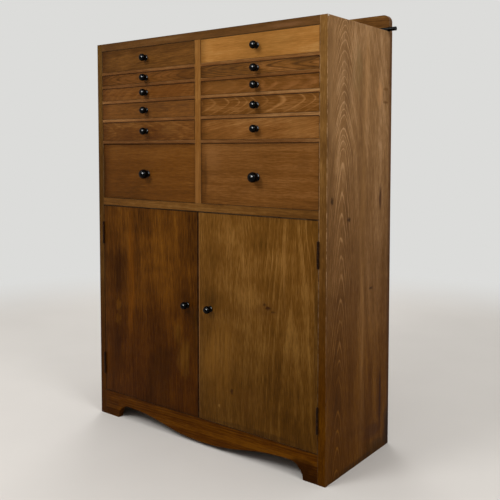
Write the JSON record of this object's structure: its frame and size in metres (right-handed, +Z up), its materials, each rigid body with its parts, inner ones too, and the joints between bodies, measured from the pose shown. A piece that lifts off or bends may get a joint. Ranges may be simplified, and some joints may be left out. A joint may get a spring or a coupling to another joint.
{
  "type": "drawer cabinet",
  "caption": "Tall wooden cabinet with two columns of flush drawers over a two-door cupboard, round black knobs, a shaped apron and a low gallery board.",
  "frame": {"origin": "on the floor, below the centre of the whole cabinet's box, knobs and peg included; the cabinet's own centre plane is at x = -12.5 mm", "axes": "+Z up, the drawers and doors face -Y, +X to the right of a person who faces them"},
  "size_m": [0.961, 0.4136, 1.352],
  "materials": {
    "case_wood": "worn satin varnish on walnut-brown wood, straight grain with arches on the sides",
    "door_wood": "satin varnish, upright straight grain with small knots",
    "drawer_front_wood": "satin varnish, level grain that differs from drawer to drawer",
    "drawer_box_wood": "bare pale wood, lightly aged",
    "inner_wood": "unvarnished wood, dull",
    "black_lacquer": "black lacquer, glossy",
    "dark_steel": "dark, dull with age"
  },
  "bodies": {
    "case": {"side_left": "case_wood", "side_right": "case_wood", "top_board": "case_wood", "gallery_board": "case_wood", "centre_partition": "case_wood", "middle_board": "case_wood", "front_apron": "case_wood", "drawer_rails": "case_wood", "cupboard_floor": "inner_wood", "back_panel": "inner_wood", "cupboard_shelf": "inner_wood", "shelf_battens": "inner_wood", "drawer_runners": "inner_wood", "drawer_stops": "inner_wood", "door_stop": "inner_wood", "gallery_peg": "black_lacquer", "case_hinge_leaves": "dark_steel", "hinge_pins": "dark_steel"},
    "left_drawer_1": {"left_drawer_1_front": "drawer_front_wood", "left_drawer_1_box": "drawer_box_wood", "left_drawer_1_knob": "black_lacquer"},
    "left_drawer_2": {"left_drawer_2_front": "drawer_front_wood", "left_drawer_2_box": "drawer_box_wood", "left_drawer_2_knob": "black_lacquer"},
    "left_drawer_3": {"left_drawer_3_front": "drawer_front_wood", "left_drawer_3_box": "drawer_box_wood", "left_drawer_3_knob": "black_lacquer"},
    "left_drawer_4": {"left_drawer_4_front": "drawer_front_wood", "left_drawer_4_box": "drawer_box_wood", "left_drawer_4_knob": "black_lacquer"},
    "left_drawer_5": {"left_drawer_5_front": "drawer_front_wood", "left_drawer_5_box": "drawer_box_wood", "left_drawer_5_knob": "black_lacquer"},
    "left_drawer_6": {"left_drawer_6_front": "drawer_front_wood", "left_drawer_6_box": "drawer_box_wood", "left_drawer_6_knob": "black_lacquer"},
    "right_drawer_1": {"right_drawer_1_front": "drawer_front_wood", "right_drawer_1_box": "drawer_box_wood", "right_drawer_1_knob": "black_lacquer"},
    "right_drawer_2": {"right_drawer_2_front": "drawer_front_wood", "right_drawer_2_box": "drawer_box_wood", "right_drawer_2_knob": "black_lacquer"},
    "right_drawer_3": {"right_drawer_3_front": "drawer_front_wood", "right_drawer_3_box": "drawer_box_wood", "right_drawer_3_knob": "black_lacquer"},
    "right_drawer_4": {"right_drawer_4_front": "drawer_front_wood", "right_drawer_4_box": "drawer_box_wood", "right_drawer_4_knob": "black_lacquer"},
    "right_drawer_5": {"right_drawer_5_front": "drawer_front_wood", "right_drawer_5_box": "drawer_box_wood", "right_drawer_5_knob": "black_lacquer"},
    "right_drawer_6": {"right_drawer_6_front": "drawer_front_wood", "right_drawer_6_box": "drawer_box_wood", "right_drawer_6_knob": "black_lacquer"},
    "left_door": {"left_door": "door_wood", "left_door_hinge_leaves": "dark_steel", "left_door_knob": "black_lacquer"},
    "right_door": {"right_door": "door_wood", "right_door_hinge_leaves": "dark_steel", "right_door_knob": "black_lacquer"}
  },
  "joints": [
    {"name": "left_drawer_1_slide", "type": "slide", "parent": "case", "child": "left_drawer_1", "axis": [0, -1, 0], "range_m": [0, 0.26]},
    {"name": "left_drawer_2_slide", "type": "slide", "parent": "case", "child": "left_drawer_2", "axis": [0, -1, 0], "range_m": [0, 0.26]},
    {"name": "left_drawer_3_slide", "type": "slide", "parent": "case", "child": "left_drawer_3", "axis": [0, -1, 0], "range_m": [0, 0.26]},
    {"name": "left_drawer_4_slide", "type": "slide", "parent": "case", "child": "left_drawer_4", "axis": [0, -1, 0], "range_m": [0, 0.26]},
    {"name": "left_drawer_5_slide", "type": "slide", "parent": "case", "child": "left_drawer_5", "axis": [0, -1, 0], "range_m": [0, 0.26]},
    {"name": "left_drawer_6_slide", "type": "slide", "parent": "case", "child": "left_drawer_6", "axis": [0, -1, 0], "range_m": [0, 0.26]},
    {"name": "right_drawer_1_slide", "type": "slide", "parent": "case", "child": "right_drawer_1", "axis": [0, -1, 0], "range_m": [0, 0.26]},
    {"name": "right_drawer_2_slide", "type": "slide", "parent": "case", "child": "right_drawer_2", "axis": [0, -1, 0], "range_m": [0, 0.26]},
    {"name": "right_drawer_3_slide", "type": "slide", "parent": "case", "child": "right_drawer_3", "axis": [0, -1, 0], "range_m": [0, 0.26]},
    {"name": "right_drawer_4_slide", "type": "slide", "parent": "case", "child": "right_drawer_4", "axis": [0, -1, 0], "range_m": [0, 0.26]},
    {"name": "right_drawer_5_slide", "type": "slide", "parent": "case", "child": "right_drawer_5", "axis": [0, -1, 0], "range_m": [0, 0.26]},
    {"name": "right_drawer_6_slide", "type": "slide", "parent": "case", "child": "right_drawer_6", "axis": [0, -1, 0], "range_m": [0, 0.26]},
    {"name": "left_door_hinge", "type": "hinge", "parent": "case", "child": "left_door", "pos_m": [-0.45475, -0.17655, 0.4155], "axis": [0, 0, -1], "range_deg": [0, 170]},
    {"name": "right_door_hinge", "type": "hinge", "parent": "case", "child": "right_door", "pos_m": [0.42975, -0.17655, 0.4155], "axis": [0, 0, 1], "range_deg": [0, 170]}
  ]
}
